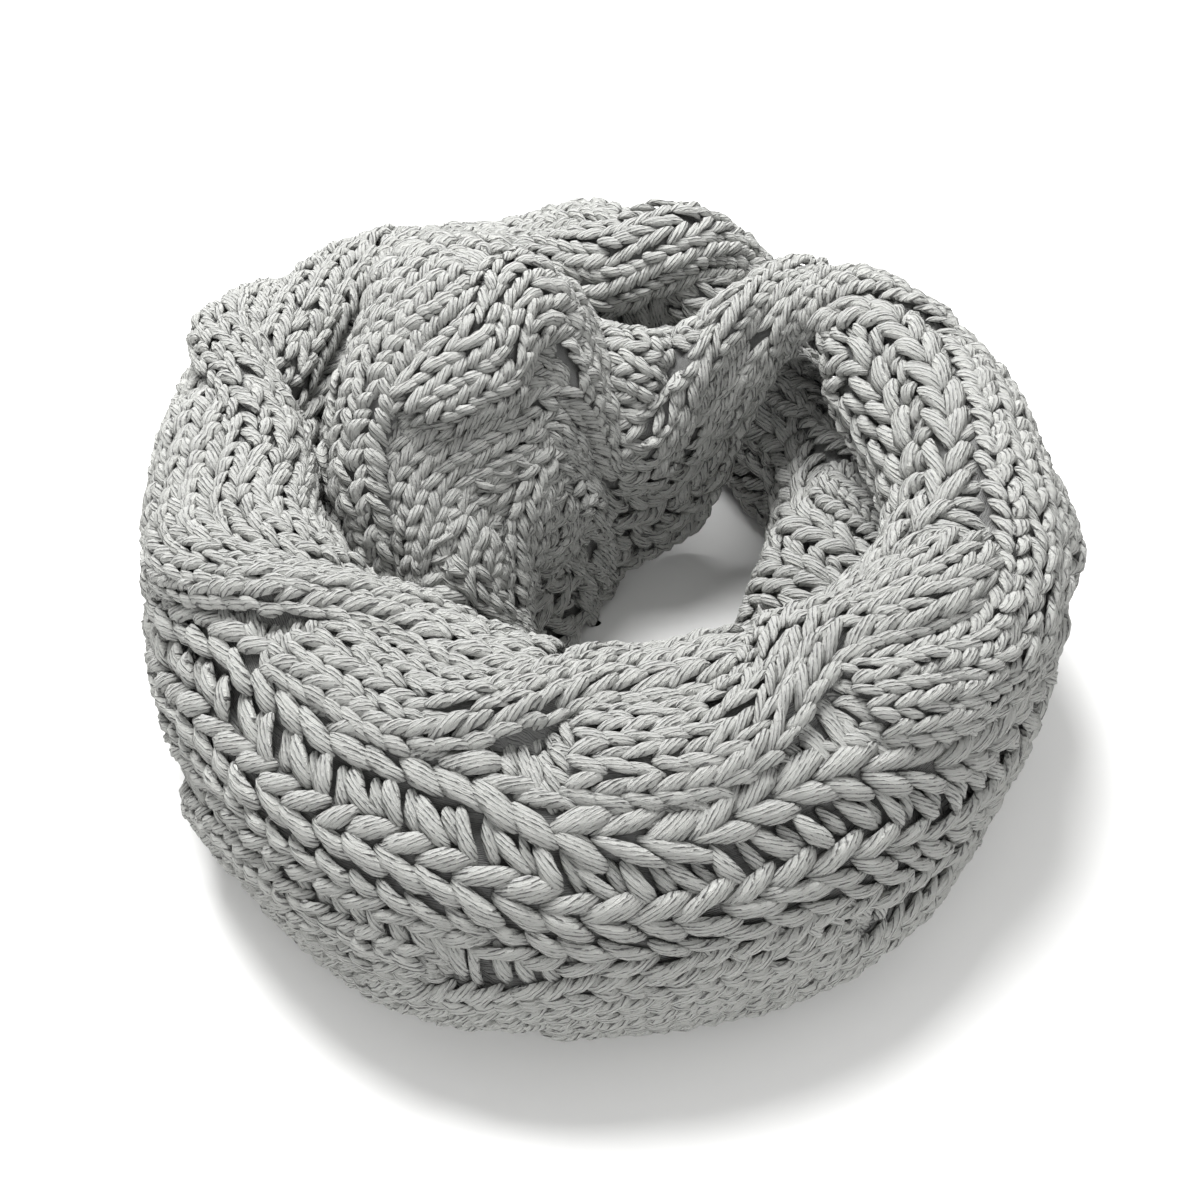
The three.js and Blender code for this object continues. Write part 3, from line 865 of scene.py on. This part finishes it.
def shade_of(tree, share, colours, painted_shade_share):
    """The colour at a share of the way from the dark to the light fibre, with both darkened by a share that is
    painted shade where it is below 1
    """
    ramp = tree.nodes.new("ShaderNodeValToRGB")
    stops = ((DARK_STOP, colours.dark), (LIGHT_STOP, colours.light))
    for element, (place, colour) in zip(ramp.color_ramp.elements, stops):
        element.position = place
        element.color = (*(painted_shade_share * channel for channel in colour), 1.0)
    tree.links.new(share.socket, ramp.inputs["Fac"])
    return ramp.outputs["Color"]


def knitted_material(name, colours, painted_shade_share, has_painted_shade):
    """Light grey marl wool: plies along the yarn, pale and dark fibres, painted shade in the grooves between
    the plies, and painted shade on the low parts of each leg and painted light on its high parts
    """
    made = bpy.data.materials.get(name)
    if made:
        return made
    material = bpy.data.materials.new(name)
    material.use_nodes = True
    tree = material.node_tree
    tree.nodes.clear()
    yarn = node(tree, "ShaderNodeAttribute", {"attribute_name": "yarn"}, output="Vector")
    parts = node(tree, "ShaderNodeSeparateXYZ", inputs=[yarn]).socket.node
    along, aside, tone = (Wire(tree, parts.outputs[i]) for i in range(3))
    slanted = aside + along * SLANT
    strands = node(tree, "ShaderNodeCombineXYZ", inputs=[along * GROOVE_ALONG, slanted, tone * GROOVE_JUMP])
    groove_scale, groove_detail, groove_roughness = GROOVE_NOISE
    groove = noise(tree, strands, groove_scale / colours.ply, groove_detail, groove_roughness)
    hairs = node(tree, "ShaderNodeCombineXYZ", inputs=[along * FIBRE_ALONG, slanted, tone * FIBRE_JUMP])
    fibre = noise(tree, hairs, *FIBRE_NOISE)
    turned = slanted * (2.0 * math.pi / colours.ply) + groove * PLY_WANDER + tone * PLY_JUMP
    ply = (turned.math("SINE") + 1.0) * 0.5
    strength = groove * PLY_GAIN + PLY_START
    lines = ply.math("POWER", PLY_SHARPNESS) * strength.math("MAXIMUM", 0.0)
    place = node(tree, "ShaderNodeTexCoord", output="Object")
    fleck = noise(tree, place, *FLECK_NOISE)
    patch = noise(tree, place, *PATCH_NOISE)
    pale = fibre * FIBRE_LIGHT + fleck * FLECK_LIGHT + patch * PATCH_LIGHT + tone * TONE_LIGHT
    # The lines darken the grooves between the plies: painted shade, beside the relief that they also sink
    mix = pale - lines * PLY_GROOVE_PAINTED_SHADE + LIGHT_START
    if has_painted_shade:
        # Painted shade on the low parts of each leg and painted light on its high parts
        painted_dip_shade = node(tree, "ShaderNodeAttribute", {"attribute_name": "depth"}, output="Fac")
        mix = mix + painted_dip_shade * PAINTED_DIP_SHADE + PAINTED_DIP_SHADE_START
    rough = noise(tree, place, *ROUGH_NOISE)
    relief = fibre * FIBRE_RELIEF + fleck * FLECK_RELIEF - lines * PLY_RELIEF
    bump = node(tree, "ShaderNodeBump", {}, {"Strength": 1.0, "Distance": RELIEF_HEIGHT, "Height": relief})
    shader = tree.nodes.new("ShaderNodeBsdfPrincipled")
    tree.links.new(shade_of(tree, mix, colours, painted_shade_share), shader.inputs["Base Color"])
    tree.links.new((rough * ROUGHNESS_RANGE + LEAST_ROUGHNESS).socket, shader.inputs["Roughness"])
    tree.links.new(bump.socket, shader.inputs["Normal"])
    shader.inputs["Sheen Weight"].default_value = SHEEN
    shader.inputs["Sheen Roughness"].default_value = SHEEN_ROUGHNESS
    shader.inputs["Specular IOR Level"].default_value = SPECULAR
    out = tree.nodes.new("ShaderNodeOutputMaterial")
    tree.links.new(shader.outputs["BSDF"], out.inputs["Surface"])
    return material


def cloth_mesh(name, first, last):
    """The thin ground of one stretch, just under its stitches"""
    columns = round((last - first) / SHEET_TURN_STEP)
    rows = round(float(CLOTH.width(0.5 * (first + last))) / SHEET_ACROSS_STEP)
    bm = bmesh.new()
    bmesh.ops.create_grid(bm, x_segments=columns, y_segments=rows, size=0.5)
    mesh = bpy.data.meshes.new(name)
    bm.to_mesh(mesh)
    bm.free()
    local = np.empty(len(mesh.vertices) * 3)
    mesh.vertices.foreach_get("co", local)
    x, y, _ = local.reshape(-1, 3).T
    turn = first + (last - first) * (x + 0.5)
    chart = CLOTH.edge(turn) + (y + 0.5) * CLOTH.width(turn)
    points = CLOTH.place(turn, chart, ground_lift(turn, chart) - YARN_DEPTH)
    points[..., 2] = np.maximum(points[..., 2], LEAST_SHEET_HEIGHT)
    mesh.vertices.foreach_set("co", (points * MM).ravel())
    keep_yarn(mesh, turn * CLOTH.scale(turn, chart), chart, 0.0)
    return mesh


def flat_size(first, last):
    """Width and length of a stretch laid flat, in metres, both at its middle"""
    turns = np.linspace(first, last, FLAT_SAMPLES)
    half_way = CLOTH.place(turns, CLOTH.edge(turns) + 0.5 * CLOTH.width(turns), np.zeros(FLAT_SAMPLES))
    length = np.linalg.norm(np.diff(half_way, axis=0), axis=1).sum()
    return float(CLOTH.width(turns).mean()) * MM, float(length) * MM


class ScarfYarn(bpy.types.PropertyGroup):
    """The colours and the plies of the yarn"""

    light: FloatVectorProperty(
        name="Light fibre", description="Colour of the pale fibres", subtype="COLOR", size=3,
        default=(0.6, 0.605, 0.574), min=0.0, max=1.0,
    )
    dark: FloatVectorProperty(
        name="Dark fibre", description="Colour of the dark fibres", subtype="COLOR", size=3,
        default=(0.085, 0.085, 0.078), min=0.0, max=1.0,
    )
    ply: FloatProperty(
        name="Ply", description="Distance between the plies of the yarn, in millimetres",
        default=1.3, min=0.3, max=4.0,
    )


class ScarfStage(bpy.types.PropertyGroup):
    """The camera and the lights"""

    lens: FloatProperty(
        name="Lens", description="Focal length on a 36 mm sensor, in millimetres", default=69.9, min=10.0,
    )
    distance: FloatProperty(
        name="Distance", description="From the camera to the scarf", default=0.8, min=0.1, unit="LENGTH",
    )
    elevation: FloatProperty(
        name="Elevation", description="Height of the camera over the horizon",
        default=math.radians(50.0), min=0.0, max=math.radians(90.0), unit="ROTATION",
    )
    key: FloatProperty(
        name="Key light", description="Power of the light from above and behind", default=30.0, min=0.0,
        unit="POWER",
    )
    fill: FloatProperty(
        name="Fill light", description="Power of the light from the front", default=5.4, min=0.0, unit="POWER",
    )
    sky: FloatProperty(
        name="Surroundings", description="Strength of the light from all round", default=0.54, min=0.0,
    )


def add_camera(context, sizes):
    back = Vector((0.0, -math.cos(sizes.elevation), math.sin(sizes.elevation)))
    camera = bpy.data.objects.new("camera", bpy.data.cameras.new("camera"))
    camera.data.lens = sizes.lens
    camera.data.sensor_width = CAMERA_SENSOR
    camera.data.shift_x, camera.data.shift_y = CAMERA_SHIFT
    camera.location = CAMERA_TARGET + back * sizes.distance
    camera.rotation_euler = (-back).to_track_quat("-Z", "Y").to_euler()
    context.scene.collection.objects.link(camera)
    context.scene.camera = camera


def add_floor(context):
    bm = bmesh.new()
    bmesh.ops.create_grid(bm, x_segments=1, y_segments=1, size=FLOOR_SIZE)
    mesh = bpy.data.meshes.new("floor")
    bm.to_mesh(mesh)
    bm.free()
    pale = bpy.data.materials.new("pale_floor")
    pale.use_nodes = True
    surface = pale.node_tree.nodes["Principled BSDF"]
    surface.inputs["Base Color"].default_value = FLOOR_COLOUR
    surface.inputs["Roughness"].default_value = FLOOR_ROUGHNESS
    mesh.materials.append(pale)
    floor = bpy.data.objects.new("floor", mesh)
    context.scene.collection.objects.link(floor)


def add_light(context, name, place, power, size):
    data = bpy.data.lights.new(name, "AREA")
    data.energy = power
    data.shape = "DISK"
    data.size = size
    light = bpy.data.objects.new(name, data)
    light.location = place
    light.rotation_euler = (CAMERA_TARGET - light.location).to_track_quat("-Z", "Y").to_euler()
    context.scene.collection.objects.link(light)


class SCARF_OT_stage(bpy.types.Operator):
    """Make the camera, the pale floor and the soft lights"""

    bl_idname = "scarf.stage"
    bl_label = "Stage"

    def execute(self, context):
        sizes = context.scene.scarf_stage
        add_camera(context, sizes)
        add_floor(context)
        add_light(context, "key", KEY_PLACE, sizes.key, KEY_SIZE)
        add_light(context, "fill", FILL_PLACE, sizes.fill, FILL_SIZE)
        world = bpy.data.worlds.new("studio")
        world.use_nodes = True
        background = world.node_tree.nodes["Background"]
        background.inputs["Color"].default_value = (1.0, 1.0, 1.0, 1.0)
        background.inputs["Strength"].default_value = sizes.sky
        context.scene.world = world
        context.scene.view_settings.view_transform = "Standard"
        return {"FINISHED"}


class SCARF_OT_cables(bpy.types.Operator):
    """Knit the rope cables, in columns of stockinette"""

    bl_idname = "scarf.cables"
    bl_label = "Cables"

    def execute(self, context):
        leg = yarn_template("fine_leg", **FINE_LEG)
        knit_pieces(context, "cable", leg, [cable_stitches(cable) for cable in CABLES] + [pleat_stitches()])
        return {"FINISHED"}


class SCARF_OT_ribs(bpy.types.Operator):
    """Knit the big ribs, in long open stitches"""

    bl_idname = "scarf.ribs"
    bl_label = "Ribs"

    def execute(self, context):
        leg = yarn_template("rib_leg", **RIB_LEG)
        knit_pieces(context, "ribs", leg, [rib_stitches()])
        return {"FINISHED"}


class SCARF_OT_bars(bpy.types.Operator):
    """Lay the bars in the open gutters and beside the cables"""

    bl_idname = "scarf.bars"
    bl_label = "Bars"

    def execute(self, context):
        leg = yarn_template("bar_leg", **BAR_LEG)
        knit_pieces(context, "bars", leg, [bar_stitches(), filling_stitches()])
        return {"FINISHED"}


class SCARF_OT_edges(bpy.types.Operator):
    """Knit the chain of stitches along the edge and the hem"""

    bl_idname = "scarf.edges"
    bl_label = "Edges"

    def execute(self, context):
        leg = yarn_template("edge_leg", **FINE_LEG)
        knit_pieces(context, "edges", leg, [edge_stitches()])
        return {"FINISHED"}


class SCARF_OT_cloth(bpy.types.Operator):
    bl_idname = "scarf.cloth"
    bl_label = "Cloth"

    def execute(self, context):
        # The ground sheet is the wool darkened by GROUND_SHADE: painted shade in the gaps between the stitches
        ground = knitted_material("marl_ground_painted_shade", context.scene.scarf_yarn, GROUND_SHADE, has_painted_shade=False)
        for node_name, first, last, rests_on in STRETCHES:
            name = node_name + "_cloth"
            sheet = finished(name, cloth_mesh(name, first, last), ground)
            wall = sheet.modifiers.new("wall", "SOLIDIFY")
            wall.thickness = SHEET_WALL * MM
            wall.offset = 1.0
            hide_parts(node_name)
            flat_size(first, last)
        return {"FINISHED"}


class SCARF_PT_panel(bpy.types.Panel):
    """Colours, sizes and steps"""

    bl_idname = "SCARF_PT_panel"
    bl_label = "Infinity scarf"
    bl_space_type = "VIEW_3D"
    bl_region_type = "UI"
    bl_category = "Scarf"

    def draw(self, context):
        for group in (context.scene.scarf_yarn, context.scene.scarf_stage):
            for name in group.__annotations__:
                self.layout.prop(group, name)
        for operator in OPERATORS:
            self.layout.operator(operator.bl_idname)


OPERATORS = (
    SCARF_OT_stage, SCARF_OT_cables, SCARF_OT_ribs, SCARF_OT_bars, SCARF_OT_edges, SCARF_OT_cloth,
)
CLASSES = (ScarfYarn, ScarfStage) + OPERATORS + (SCARF_PT_panel,)


def register():
    for cls in CLASSES:
        bpy.utils.register_class(cls)
    bpy.types.Scene.scarf_yarn = PointerProperty(type=ScarfYarn)
    bpy.types.Scene.scarf_stage = PointerProperty(type=ScarfStage)


def unregister():
    del bpy.types.Scene.scarf_stage
    del bpy.types.Scene.scarf_yarn
    for cls in reversed(CLASSES):
        bpy.utils.unregister_class(cls)


def main():
    register()
    bpy.ops.scarf.stage()
    bpy.ops.scarf.cables()
    bpy.ops.scarf.ribs()
    bpy.ops.scarf.bars()
    bpy.ops.scarf.edges()
    bpy.ops.scarf.cloth()


if __name__ == "__main__":
    main()
